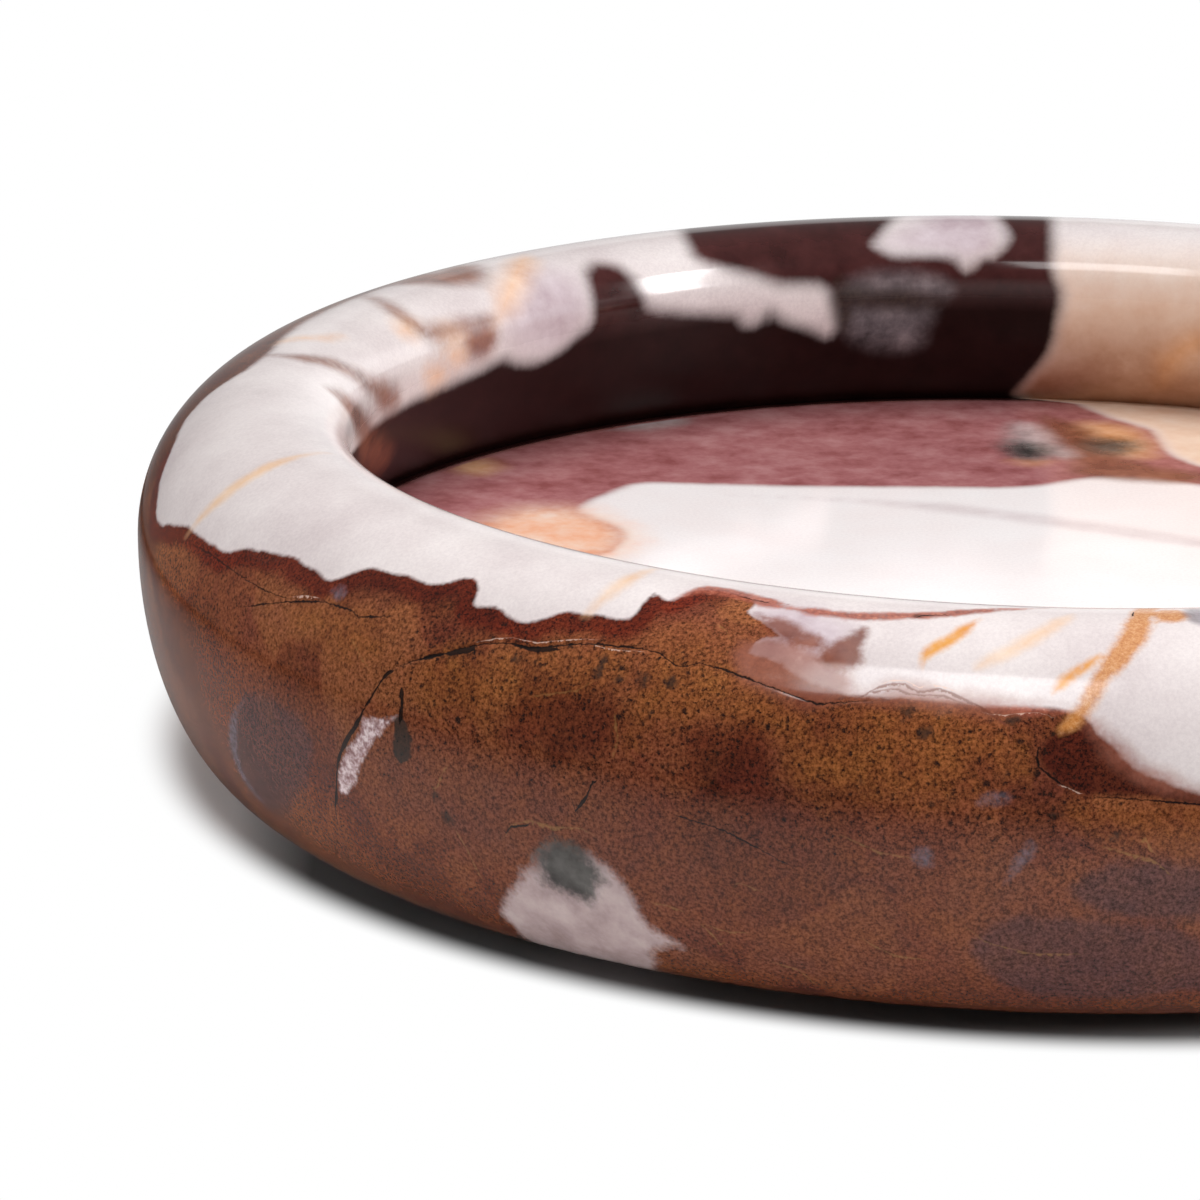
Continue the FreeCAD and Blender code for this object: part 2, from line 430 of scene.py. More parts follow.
# Veins and stains along a line: (width in mm, points)
rimLines = {
    "fleck": [(0.9, [(211.6, 12.8), (209.3, 11), (207.9, 9), (207.8, 7.4), (209, 6.1), (211.4, 5.5)])],
    "vein": [
        (0.8, [(199.4, 18.4), (200.3, 20.5), (200.7, 22.5), (200.6, 25), (200, 28)]),
        (0.4, [(267.9, 26.4), (267.6, 25.9), (266.3, 24.6), (265.1, 23.6), (264, 22.9), (262.8, 22.2),
               (262.3, 21.8)]),
        (0.4, [(237.5, 22.2), (237.9, 24), (238.2, 25.4), (238.6, 27.5)]),
        (0.7, [(-76, 29), (-71, 25), (-68, 20), (-66, 14)]),
        (0.4, [(-44, 33), (-47, 27), (-45, 20), (-48, 13)]),
        (0.5, [(44, 32), (40, 27), (42, 21)]),
    ],
    "amber": [
        (0.52, [(262.2, 25.6), (261.7, 25), (261, 24.1), (260.3, 23.3), (259.5, 22.8), (259.1, 22.1),
                (259, 21.3)]),
        (0.34, [(269.8, 23), (269.5, 22.7), (268.5, 22), (267.7, 21.5), (267.1, 20.9), (266.7, 20.4)]),
    ],
    "rust": [
        (1.4, [(70, 34), (72.5, 35.5), (73.9, 36.3), (75.3, 37.6), (76.4, 40)]),
        (1.2, [(133, 26.2), (134, 27.1), (137.2, 28.8), (140.8, 30.5), (143.4, 31.7)]),
        (0.6, [(167.4, 25.2), (166.5, 25.8), (165.4, 27.4), (163.4, 28.2)]),
    ],
    "umber": [
        (1.1, [(171, 25), (171.6, 26.6), (171.7, 27.9), (170.4, 29.3), (168.6, 30.7), (165.5, 32.1),
               (161.4, 33.5)]),
        (0.7, [(151, 25.4), (151.9, 26.1), (153.5, 28.3), (153.7, 29.5), (152.9, 30.5), (150.5, 31),
               (146.8, 31), (143.5, 31.2)]),
    ],
    "soot": [
        (1.1, [(106.4, 31.8), (105.5, 32.1), (104.6, 32.9), (101.8, 33.3), (99, 33.4), (96.3, 33.6),
               (94.6, 33.5)]),
        (1.1, [(105.6, 32.3), (105.4, 33.1), (104.9, 34.3), (104.2, 35.7)]),
    ],
    "stain": [
        (0.95, [(247.6, 24.3), (248.8, 23.8), (250.4, 23.15), (251.4, 22.75), (252.7, 22.5),
                (253.8, 22.1)]),
    ],
    "seam": [
        (0.8, [(241.6, 24.3), (242.4, 24.4), (243.3, 25.5), (244.3, 25.8), (245.6, 25.7), (247, 25.45),
               (249, 25.1), (251, 24.9), (253, 24.8)]),
        (0.6, [(246.5, 25.45), (249, 25.1), (251, 24.9), (254, 24.8), (257, 25.2), (260, 25.8),
               (263, 26.7), (266, 27.3), (269, 28.2)]),
        (0.3, [(262.4, 19.8), (264, 19.6), (265.5, 19.6), (267, 19.6), (268.2, 19.5)]),
    ],
    "rose": [
        (0.75, [(253, 20), (255, 19.8), (256.8, 19.9), (258.5, 20.1), (259.7, 20), (261.5, 19.9),
                (262.6, 19.8), (264.9, 19.8), (266.4, 19.9), (268.4, 19.7)]),
        (0.5, [(256.2, 20.2), (257.4, 20.4), (258.6, 20.3), (260, 20.25), (261.4, 20)]),
        (2.8, [(247.2, 22.7), (248.4, 21.7), (250.2, 21.2), (252.2, 20.7), (254.6, 20.2), (257, 20)]),
        (0.7, [(268, 19.6), (268.9, 19), (270.4, 17.7), (271.3, 16.9), (272.8, 16.3), (274.4, 15.8),
               (280, 14.8)]),
    ],
}
floorLines = {
    "quartz": [(2.2, [(-24.6, 32.6), (-22.4, 34.2), (-20.3, 35.3), (-18.4, 36.4)])],
    "mauve": [
        (1.5, [(-17, 18.6), (-10, 17.8), (-5, 16.5), (0, 14.5), (5, 12), (10, 9.5), (20, 5.5), (33, 1)]),
    ],
    "umber": [
        (3.2, [(2.3, 39), (2.6, 37.4), (3.3, 35.2), (3.9, 31.8), (4.7, 28.4), (5.8, 26.3), (7.7, 25.1),
               (10.8, 24.4), (16, 23.6)]),
        (2.6, [(3, 27), (4, 25.4), (6.5, 24.4), (10, 23.8), (14, 23.4)]),
    ],
    "vein": [
        (1.3, [(-30, -9), (-16, -14), (-2, -13), (12, -18), (24, -26), (30, -30)]),
        (1.0, [(-2, -13), (4, -22), (3, -32), (8, -41)]),
    ],
}
# Dark smudges: (degrees, mm along the section, radius in mm)
rimSpots = [
    (234.2, 19.1, 0.28), (239.8, 19.9, 0.2), (239.9, 19.3, 0.3), (241.2, 19.1, 0.25), (242.7, 19.2, 0.3),
    (244.5, 19.4, 0.35), (243.5, 17.8, 0.25), (258.6, 19.1, 0.45), (259.6, 18.3, 0.4), (256.4, 15.8, 0.25),
    (264, 16.4, 0.35), (260.2, 14.9, 0.2), (261.4, 15, 0.2), (264.5, 19.1, 0.3), (267, 14.6, 0.35),
    (270.4, 13.6, 0.3), (229.1, 11, 0.25), (229.8, 10, 0.35), (249.5, 25.2, 0.2), (258, 25.4, 0.22),
]
# Hairlines on the front: (width in mm, points), drawn in this order. A gap is open and dark, a glint is a
# painted highlight on its broken edge.
strokes = {
    "thread": [
        (0.12, [(221.6, 17.9), (222.6, 17.2), (223.6, 16.7)]),
        (0.2, [(230.2, 13.1), (229.5, 12), (229, 11.2)]),
        (0.24, [(241.4, 17.5), (241.8, 16.2), (241.6, 15.2)]),
        (0.1, [(235.6, 17.4), (237.2, 17.8), (238.8, 18.2), (239.8, 18.9)]),
        (0.12, [(246, 23), (247.1, 22.4), (247.3, 21.5)]),
        (0.12, [(231.6, 6.4), (231, 8.2), (230.2, 9.6)]),
        (0.22, [(269.7, 13), (271.1, 12.6), (272.5, 12.3), (273.6, 11.5)]),
        (0.16, [(271.9, 13.7), (272.2, 13.1), (272.6, 12.5)]),
        (0.12, [(243.5, 7.6), (244.5, 7.6), (245.6, 7.4)]),
        (0.14, [(246.6, 6.7), (247.2, 6.1), (247.8, 5.2)]),
        (0.1, [(246.6, 6.8), (248.2, 6.5), (249.6, 6.7)]),
        (0.12, [(248.8, 9.6), (249.7, 9.5), (250.6, 9.2)]),
        (0.12, [(250.4, 4.8), (252.3, 4.4), (253.2, 3)]),
        (0.24, [(233.8, 9.4), (234.5, 10.5), (236, 11), (237.6, 10.9), (239.4, 11.2), (240.4, 10.9)]),
        (0.14, [(262, 8.5), (263.4, 7.4), (266, 6.8), (269, 6.9)]),
        (0.14, [(255, 12.9), (257.4, 12.1), (259.6, 11.9)]),
        (0.12, [(256, 7.2), (258, 6.2), (260.4, 6)]),
    ],
    # painted highlights along the crack's edges
    "glint": [
        (0.09, [(230.8, 19.4), (232.3, 19.9), (233.4, 20.1), (235.2, 20.15), (237.4, 20.7), (239.2, 21)]),
        (0.09, [(238.4, 20.7), (239.6, 20.55), (241, 20.6), (242.4, 20.75)]),
        (0.09, [(256.4, 20.3), (257.4, 20.8), (258.4, 20.8), (259, 20.5), (259.8, 20.7), (260.6, 20.6),
                (261.6, 20.3)]),
        (0.15, [(215, 18.7), (216, 19), (217.4, 19.2)]),
        (0.1, [(262.8, 19.4), (264, 19.3), (265, 19.45), (266, 19.5), (266.8, 19.3)]),
        (0.09, [(267.3, 16.05), (268.4, 15.65)]),
    ],
    "murk": [(1.4, [(226.5, 14.8), (226.7, 13.7), (226.4, 12.3)])],
    "scar": [
        (0.2, [(255.6, 19.7), (256.2, 20), (256.8, 20.4), (257.6, 20.6), (258.4, 20.6), (258.8, 20.25),
               (259.5, 20.3), (260.1, 20.5), (261, 20.3), (261.9, 19.95), (262.6, 19.7), (263.6, 19.2),
               (264.6, 18.6)]),
        (0.16, [(256, 20), (256.8, 20.15), (257.8, 20.35), (258.6, 20.1), (259.6, 20.1), (260.6, 20.15),
                (261.6, 19.8)]),
    ],
    "gap": [
        (0.12, crack["line"]),
        (0.26, [(223.6, 14.7), (224.1, 15.3), (224.9, 16.5), (225.5, 17)]),
        (0.2, [(227.4, 17.95), (228.3, 18.25), (229.2, 18.55)]),
        (0.3, [(229.2, 18.5), (230.2, 18.8), (231.3, 19.2)]),
        (0.26, [(233.8, 19.75), (235.4, 19.8), (237, 20.1)]),
        (0.3, [(219.2, 7), (219.5, 8.2), (220.1, 9.2), (220.6, 11), (221.7, 12.5), (222.9, 13.7),
               (223.5, 14.6)]),
        (0.42, [(226.5, 16.3), (226.65, 15.4), (226.5, 14.4)]),
        (0.12, [(209.9, 17), (212.3, 17.7), (214.8, 18.4), (216, 18.7), (218, 19.1), (220.6, 19.2),
                (221.5, 19), (224.2, 19.6), (225, 18.7)]),
        (0.18, [(266.05, 17.9), (265.95, 17.3), (266.1, 16.8)]),
        (0.12, [(266, 16.9), (266.8, 16.4), (267.3, 16.1)]),
        (0.1, [(268.6, 15.5), (271.7, 15.4), (274.4, 15.2), (278, 14.9)]),
        (0.2, [(240.4, 14), (239.8, 12.8), (239, 12)]),
        (0.08, [(199.6, 18.3), (204.1, 18.6), (208, 18.5), (211.8, 18.4), (214.4, 18.5), (216.3, 18.9)]),
        (0.09, [(245.1, 12.9), (248.4, 12.4), (250.6, 11.6), (253, 10.6)]),
        (0.12, [(233.9, 9.7), (234.5, 10.4), (236, 10.8)]),
        (0.12, [(272, 26.9), (271.9, 26.5), (271.8, 26.2)]),
        (0.12, [(246, 25.5), (247.2, 25.3), (248.4, 25.2)]),
        (0.12, [(258, 25.3), (259, 25.5), (260, 25.7)]),
    ],
}
strokeParts = ("colour", "cover", "soft", "broken", "breaks", "taper")
strokeLooks = {
    "thread": ("#99703f", 0.5, 0.06, 0.9, "fringe", 0.25),
    "glint": ("#d3b3a2", 0.75, 0.02, 1.0, "fringe", 0.2),
    "murk": ("#2c2824", 0.85, 0.1, 0.3, "lobe", 0.12),
    "scar": ("#74402f", 0.9, 0.06, 0.6, "fringe", 0.12),
    "gap": ("#100907", 0.92, 0.03, 0.5, "lobe", 0.15),
}
strokeSetup = {
    "angle": (184.0, 282.0),    # degrees and mm that the hairlines' curves span
    "along": (0.0, 30.0),
    "radius": 50.0,             # mm: the wall that they lie on
    "steep": 2.2,               # mm per degree: steeper ones are drawn up the wall instead of round it
    "shortest": 0.1,            # mm, least run of a line
    "laneGap": 0.8,             # least room between two lines of a lane
    "tip": 0.001,               # share of the curve in which a line begins and ends
    "worn": (0.42, 0.6),        # pattern levels between broken and whole
    "faint": 0.06,              # mm: thinner lines also lose cover
}
markSetup = {
    "farAway": 6.0,             # mm past which a marking no longer matters
    "taper": 0.3,               # share of a line over which each end thins out
    "tip": 0.6,                 # half widths that its ends fall short
    "leastRadius": 8.0,         # mm: under the middle of the base a degree counts as if it were here
    "cloudy": (-15.0, 32.0),    # mm from front to back
    "mauveBelow": 14.4,         # mm along the section: the jasper turns mauve below the belly
    "honed": (31.6, 34.2),      # mm along the section: where the polish ends and the undercut wall is painted darker
    "tension": 0.35,            # how round a curve goes through its points
    "steps": 4,                 # and how many parts each span of it has
    "batch": 4000,              # points measured at a time
}
farAway = markSetup["farAway"]


def softened(points, closed):
    # A Catmull-Rom curve through the chosen points.
    points = np.array(points, float)
    if closed:
        ring = np.concatenate([points[-1:], points, points[:2]])
    else:
        ring = np.concatenate([2 * points[:1] - points[1:2], points, 2 * points[-1:] - points[-2:-1]])
    t = np.linspace(0, 1, markSetup["steps"], endpoint=False)[:, None]
    spans = []
    for i in range(1, len(ring) - 2):
        a, b, c, d = ring[i - 1:i + 3]
        m, n = markSetup["tension"] * (c - a), markSetup["tension"] * (d - b)
        spans.append((2 * t ** 3 - 3 * t ** 2 + 1) * b + (t ** 3 - 2 * t ** 2 + t) * m
                     + (3 * t ** 2 - 2 * t ** 3) * c + (t ** 3 - t ** 2) * n)
    return np.concatenate(spans + ([] if closed else [points[-1:]]))


def pathDistance(path, closed, x, y, stretch):
    # Millimetres from each spot to the path, positive inside a closed one, and how far along the path it is.
    # stretch is mm per unit of x.
    distance, share = np.empty(len(x)), np.empty(len(x))
    tiny = 1e-9
    for start in range(0, len(x), markSetup["batch"]):
        part = slice(start, start + markSetup["batch"])
        px = (path[None, :, 0] - x[part, None]) * stretch[part, None]
        py = path[None, :, 1] - y[part, None]
        if closed:
            qx, qy = np.roll(px, -1, axis=1), np.roll(py, -1, axis=1)
        else:
            px, qx, py, qy = px[:, :-1], px[:, 1:], py[:, :-1], py[:, 1:]
        dx, dy = qx - px, qy - py
        t = np.clip(-(px * dx + py * dy) / np.maximum(dx * dx + dy * dy, tiny), 0, 1)
        gaps = (px + t * dx) ** 2 + (py + t * dy) ** 2
        nearest = gaps.argmin(axis=1)
        row = np.arange(len(nearest))
        reach = np.sqrt(gaps[row, nearest])
        share[part] = (nearest + t[row, nearest]) / px.shape[1]
        if closed:
            crosses = (py > 0) != (qy > 0)
            side = px + dx * -py / np.where(dy == 0, tiny, dy)
            inside = (crosses & (side > 0)).sum(axis=1) % 2 == 1
            reach = np.where(inside, reach, -reach)
        distance[part] = reach
    return distance, share


def readMarks(spots):
    # One distance field in mm for each kind of marking, positive inside it.
    kinds = [*rimMarks, *floorMarks, *rimLines, *floorLines]
    fields = {kind: np.full(len(spots["x"]), -farAway) for kind in kinds}
    fields["calcite"][:] = farAway
    onFloor = spots["onFloor"]
    rim, floor = np.flatnonzero(~onFloor), np.flatnonzero(onFloor)
    rimJobs, floorJobs = (rimCuts, rimMarks, rimLines, rim), (floorCuts, floorMarks, floorLines, floor)
    for cuts, marks, lines, where in (rimJobs, floorJobs):
        onRim = where is rim
        x = spots["angle" if onRim else "x"][where]
        y = spots["along" if onRim else "y"][where]
        stretch = np.ones(len(where))
        if onRim:
            stretch = np.radians(np.maximum(spots["radius"][where], markSetup["leastRadius"]))
        jobs = [("calcite", "cut", 0, path) for path in cuts]
        jobs += [(kind, "fill", 0, path) for kind, paths in marks.items() for path in paths]
        jobs += [(kind, "line", width, path) for kind, paths in lines.items() for width, path in paths]
        for kind, how, width, points in jobs:
            path = softened(points, how != "line")
            low, high = path.min(axis=0), path.max(axis=0)
            local = x + 360 * np.round(((low[0] + high[0]) / 2 - x) / 360) if onRim else x
            room = farAway / stretch
            near = np.flatnonzero((local > low[0] - room) & (local < high[0] + room)
                                  & (y > low[1] - farAway) & (y < high[1] + farAway))
            d, share = pathDistance(path, how != "line", local[near], y[near], stretch[near])
            field, spot = fields[kind], where[near]
            if how == "cut":
                field[spot] = np.minimum(field[spot], -d)
            elif how == "fill":
                field[spot] = np.maximum(field[spot], d)
            else:
                taper = np.clip(np.minimum(share, 1 - share) / markSetup["taper"], 0, 1)
                thick = (1 + markSetup["tip"]) * taper - markSetup["tip"]
                field[spot] = np.maximum(field[spot], width / 2 * thick - d)
    for angle, along, radius in rimSpots:
        gap = np.hypot((spots["angle"] - angle) * np.radians(spots["radius"]), spots["along"] - along)
        fields["soot"] = np.where(onFloor, fields["soot"], np.maximum(fields["soot"], radius - gap))
    fields["floorZone"] = onFloor.astype(float)
    fields["angle"], fields["along"] = spots["angle"], spots["along"]
    mauve = np.clip(markSetup["mauveBelow"] - spots["along"], -farAway, farAway)
    fields["plum"] = np.where(onFloor, -farAway, mauve)
    # The markings have crisp edges at the front and run softly into each other on the far side.
    front, back = markSetup["cloudy"]
    soft = np.clip((spots["y"] - front) / (back - front), 0, 1)
    fields["cloudy"] = soft * soft * (3 - 2 * soft)
    # The wheel reaches the undercut wall less well, so the polish ends there. The same field paints the
    # jasper there near-black: darker stone, and painted shade under the overhang.
    first, full = markSetup["honed"]
    fields["honed"] = np.where(onFloor, 0, np.clip((spots["along"] - first) / (full - first), 0, 1))
    return fields


# Polished breccia: red-brown jasper broken up and healed with white calcite. Ground and polished to a mirror,
# so the eye gets deep colour straight on, a clear reflection of the lamps, and crisp ragged colour edges.
stonePatterns = {            # grain sizes in mm
    "cloud": {"size": 7.0, "detail": 5, "roughness": 0.6},
    "blotch": {"size": 2.2, "detail": 5, "roughness": 0.62},
    "lobe": {"size": 1.5, "detail": 2, "roughness": 0.5},
    "fringe": {"size": 0.3, "detail": 2, "roughness": 0.6},
    "grain": {"size": 0.2, "detail": 3, "roughness": 0.8},
}
stoneGround = {
    "colours": [(0.32, "#7d3b27"), (0.42, "#905030"), (0.5, "#a06036"), (0.58, "#8c4e36"), (0.68, "#76443d")],
    "bitSize": 6.5,          # mm across a healed fragment
    "bitDetail": 4,
    "bitSoft": 0.25,         # how far fragments run into each other
    "crumple": 9.0,          # mm that the fragments' edges wander
    "bitTones": [(0.2, "#6a3022"), (0.5, "#955138"), (0.8, "#ae6c45")],
    "bitShow": 0.6,
    "grainTones": [(0.36, "#665c58"), (0.5, "#cbc3bc"), (0.64, "#ffffff")],
    "grainMean": "#cbc3bc",
    "grainSpan": (-4.0, 1.0),   # mm from outside the crowd of specks to inside it
    "grainShow": (0.8, 1.0),    # and how much of the grain shows there
}
# Black grains: cells of this size in mm, radius as a share of the cell away from the crowd and in it,
# and how rare the big ones are
stoneSpecks = [
    {"size": 0.24, "away": 0.06, "crowd": 0.52, "rare": 2.6, "cover": 0.8, "colour": "#1e110b"},
    {"size": 0.8, "away": 0.05, "crowd": 0.3, "rare": 3.0, "cover": 0.85, "colour": "#170d0a"},
]
speckEdges = {
    "warp": 0.45,            # mm that a speck's outline wanders
    "crowd": 1.6,            # mm either side of the crowd's edge
    "soft": (-0.04, 0.06),   # cells over which a speck's own edge fades
}
stoneEdges = {
    "fringe": 0.55,          # mm of fine fringe for each mm of round lobes on a ragged edge
    "farCalm": 0.6,          # how much of it is left where the markings are cloudy
    "farSoft": 0.6,          # mm added to each side of an edge there
    "within": 1.0,           # mm either side of a border that only lets a layer through
    "wobble": 0.24,          # mm that the hairlines wander
}
stoneFinish = {"ior": 1.54, "polished": 0.1, "honed": 0.35, "uneven": 0.04, "shine": ("#ffffff", "#7a7472")}
# Each layer covers what lies under it
layerParts = ("mask", "span", "ragged", "cover", "pattern", "colours", "within")
# span: mm inside the mask's edge where it starts and is full. ragged: mm.
jasperLayers = [
    ("plum", (-1.2, 1.8), 2.6, 0.52, "blotch", [(0.3, "#693f39"), (0.5, "#804733"), (0.7, "#92522f")]),
    ("gold", (-1.4, 1.0), 2.8, 0.75, "blotch", [(0.3, "#86492a"), (0.5, "#a36233"), (0.7, "#b5743a")]),
    ("clast", (-0.5, 0.5), 0.9, 0.8, "blotch", [(0.3, "#5b3f43"), (0.55, "#6d4846"), (0.75, "#785046")]),
    ("calcite", (-1.4, -0.7), 0.8, 0.88, "blotch",
     [(0.35, "#661b0b"), (0.6, "#7e2812"), (0.8, "#923a1c")], "ember"),
    ("shade", (-1.1, 0.8), 2.4, 0.7, "blotch", [(0.3, "#521c10"), (0.7, "#742e1b")]),
    ("wine", (-0.2, 0.3), 0.4, 0.9, "blotch", [(0.3, "#40140b"), (0.6, "#571f13"), (0.8, "#6d2c1d")]),
]
stoneLayers = [
    ("floorZone", (0.4, 0.6), 0, 1, "blotch", [(0.3, "#a15c5d"), (0.5, "#bb787a"), (0.72, "#cf9394")]),
    ("maroon", (-0.6, 0.8), 1.0, 1, "blotch", [(0.3, "#371918"), (0.55, "#482322"), (0.8, "#572d2c")]),
    # near-black down the undercut wall: darker jasper, and painted shade under the overhang
    ("honed", (0.0, 0.9), 0, 1, "blotch", [(0.3, "#080202"), (0.7, "#120706")]),
    ("calcite", (-0.12, 0.2), 0.36, 1, "cloud", [(0.3, "#cabdbd"), (0.5, "#d7cccb"), (0.7, "#e2d9d7")]),
]
# Layers that tint only the white
calciteLayers = [
    ("floorZone", (0.4, 0.6), 0, 1, "cloud", [(0.3, "#fbf1f0"), (0.7, "#fffafa")]),
    ("floorZone", (-2, -1), 0, 0.16, "grain", [(0.36, "#b0a5aa"), (0.62, "#efe9e6")]),
    ("cream", (-2.5, 2.5), 1.0, 0.9, "blotch", [(0.3, "#ecc6a8"), (0.6, "#f4d8c0"), (0.8, "#f9e3d2")]),
    # browner foot of the cream wall: part tone, part painted shade under the overhang
    ("tan", (-3.5, 3.5), 1.5, 0.85, "blotch", [(0.3, "#935e3a"), (0.6, "#a97656"), (0.8, "#bc8c70")]),
    ("lilac", (-1.0, 1.4), 1.0, 0.85, "blotch", [(0.3, "#a9929a"), (0.6, "#c2b1b8"), (0.8, "#d5c8cd")]),
    ("mauve", (-0.6, 0.5), 0.8, 0.4, "blotch", [(0.3, "#a5868d"), (0.7, "#c4abaf")]),
]
overLayers = [
    ("rose", (-0.7, 0.5), 0.6, 0.8, "blotch", [(0.3, "#7c4232"), (0.6, "#99604f"), (0.8, "#b38273")]),
    ("stain", (-0.4, 0.25), 0.6, 0.85, "blotch", [(0.3, "#5c2415"), (0.7, "#88482d")]),
    ("peach", (-1.8, 2.2), 1.6, 0.92, "blotch", [(0.3, "#ffb78f"), (0.6, "#ffd7be"), (0.8, "#ffe8d9")]),
    ("rust", (-0.7, 0.9), 1.0, 0.8, "blotch", [(0.3, "#d99a62"), (0.6, "#ecb98a"), (0.8, "#f2cfab")]),
    ("umber", (-0.7, 0.35), 0.8, 0.85, "blotch", [(0.3, "#5c2f20"), (0.7, "#8f573d")]),
    ("vein", (-0.6, 0.4), 0.5, 0.75, "blotch", [(0.3, "#d8a676"), (0.6, "#e6bf97"), (0.8, "#efd6bb")]),
    ("amber", (-0.35, 0.2), 0.4, 0.92, "blotch", [(0.3, "#cd7d1c"), (0.6, "#db9836"), (0.8, "#e6b66c")]),
    ("ochre", (-0.35, 0.25), 0.6, 0.9, "grain", [(0.3, "#b06a30"), (0.5, "#c58448"), (0.7, "#d3a070")]),
    ("seam", (-0.25, 0.16), 0.45, 0.9, "fringe", [(0.3, "#7c3a2c"), (0.6, "#a75a45"), (0.85, "#c98a70")]),
    ("quartz", (-0.4, 0.6), 1.2, 0.95, "blotch", [(0.25, "#978180"), (0.5, "#bba6a5"), (0.75, "#d1bfbd")]),
    ("slate", (-0.5, 0.6), 0.7, 0.85, "blotch", [(0.3, "#4b474a"), (0.5, "#7a7276"), (0.7, "#a3999c")]),
    ("chalk", (-0.14, 0.22), 0.5, 0.95, "fringe", [(0.32, "#8f6c6d"), (0.5, "#c0a5a6"), (0.64, "#e6d4d6")]),
    ("ash", (-0.8, 0.5), 1.7, 0.92, "blotch", [(0.35, "#212422"), (0.7, "#5a5b57")]),
    ("fleck", (-0.3, 0.3), 0.4, 0.65, "fringe", [(0.3, "#4d464d"), (0.7, "#7d727f")]),
    ("soot", (-0.15, 0.2), 0.9, 0.8, "fringe", [(0.3, "#1b120e"), (0.7, "#3a2c24")]),
]


def readField(tree, name):
    return addNode(tree, "Attribute", {"attribute_name": name}).outputs["Fac"]


def addLayer(tree, under, row, patterns, within=None):
    layer = dict(zip(layerParts, row))
    field = readField(tree, layer["mask"])
    edge = addNode(tree, "Math", timesPlus, [patterns["ragged"], layer["ragged"], field])
    start, full = (addNode(tree, "Math", timesPlus, [patterns["cloudy"], side * stoneEdges["farSoft"], limit])
                   for side, limit in zip((-1, 1), layer["span"]))
    cover = addNode(tree, "MapRange", smooth, [edge, start, full, 0, layer["cover"]])
    if "within" in layer:
        border = stoneEdges["within"]
        within = addNode(tree, "MapRange", smooth, [readField(tree, layer["within"]), -border, border])
    if within:
        cover = addNode(tree, "Math", times, [cover, within])
    tint = addNode(tree, "ValToRGB", {}, [patterns[layer["pattern"]]], layer["colours"])
    return addNode(tree, "Mix", colourMix, {0: cover, 6: under, 7: tint}), cover


def isSteep(points):
    angles, places = zip(*points)
    return max(places) - min(places) > strokeSetup["steep"] * (max(angles) - min(angles))


def packLanes(lines, axis):
    # Hairlines that don't overlap along the axis share one lane, so that one pair of curves draws them all.
    lanes = []
    for width, points in sorted(lines, key=lambda line: min(p[axis] for p in line[1])):
        points = sorted(points, key=lambda p: p[axis])
        for lane in lanes:
            if lane[-1][1][-1][axis] + strokeSetup["laneGap"] < points[0][axis]:
                lane.append((width, points))
                break
        else:
            lanes.append([(width, points)])
    return lanes


def slantOf(points, axis):
    # How much wider a slanting line is across the axis than square to itself
    angles, places = zip(*points)
    sideways = math.radians(max(angles) - min(angles)) * strokeSetup["radius"]
    run, rise = (sideways, max(places) - min(places))[::1 if axis == 0 else -1]
    return math.hypot(run, rise) / max(run, strokeSetup["shortest"])


def addLane(tree, under, lane, axis, look, patterns):
    setup = strokeSetup
    names = ("angle", "along") if axis == 0 else ("along", "angle")
    (low, high), (base, top) = (setup[name] for name in names)
    course, swell = [(0, 0)], [(0, 0)]
    for width, points in lane:
        spots = [((p[axis] - low) / (high - low), (p[1 - axis] - base) / (top - base)) for p in points]
        first, last = spots[0][0], spots[-1][0]
        tip, taper = setup["tip"], (last - first) * look["taper"]
        width = width * slantOf(points, axis)
        course += spots
        swell += [(first - tip, 0), (first + taper, width), (last - taper, width), (last + tip, 0)]
    run, across = (readField(tree, name) for name in names)
    share = addNode(tree, "MapRange", {}, [run, low, high])
    path = addNode(tree, "FloatCurve", {}, {"Value": share}, curve=course + [(1, course[-1][1])])
    thick = addNode(tree, "FloatCurve", {}, {"Value": share}, curve=swell + [(1, 0)])
    middle = addNode(tree, "Math", timesPlus, [path, top - base, base])
    off = addNode(tree, "Math", minus, [across, middle])
    scale = 1.0 if axis == 0 else math.radians(setup["radius"])
    gap = addNode(tree, "Math", timesPlus, [off, scale, patterns["wobble"]])
    away = addNode(tree, "Math", {"operation": "ABSOLUTE"}, [gap])
    worn = addNode(tree, "MapRange", {}, [patterns[look["breaks"]], *setup["worn"], 1 - look["broken"], 1.0])
    reach = addNode(tree, "Math", times, [thick, worn])
    inside = addNode(tree, "Math", timesPlus, [away, -2.0, reach])    # so twice the distance to the edge
    there = addNode(tree, "MapRange", {}, [thick, 0, setup["faint"], 0, look["cover"]])
    mask = addNode(tree, "MapRange", smooth, [inside, -2 * look["soft"], 2 * look["soft"], 0, there])
    return addNode(tree, "Mix", colourMix, {0: mask, 6: under, 7: hexToLinear(look["colour"])})


def addSpecks(tree, under, place, patterns, look):
    # Black grains, each its own size, crowded where the marking says
    shake = addNode(tree, "Mix", placeMix, {0: speckEdges["warp"] * mm, 4: place, 5: patterns["shake"]})
    cells = addNode(tree, "TexVoronoi", {"feature": "F1"},
                    {"Vector": shake, "Scale": 1 / (look["size"] * mm)})
    luck = addNode(tree, "SeparateColor", {}, [cells.outputs["Color"]])
    crowd = speckEdges["crowd"]
    field = readField(tree, "speck")
    size = addNode(tree, "MapRange", {}, [field, -crowd, crowd, look["away"], look["crowd"]])
    chance = addNode(tree, "Math", {"operation": "POWER"}, [luck, look["rare"]])
    pick = addNode(tree, "Math", times, [size, chance])
    dots = addNode(tree, "Math", minus, [pick, cells.outputs["Distance"]])
    mask = addNode(tree, "MapRange", {}, [dots, *speckEdges["soft"], 0, look["cover"]])
    return addNode(tree, "Mix", colourMix, {0: mask, 6: under, 7: hexToLinear(look["colour"])})


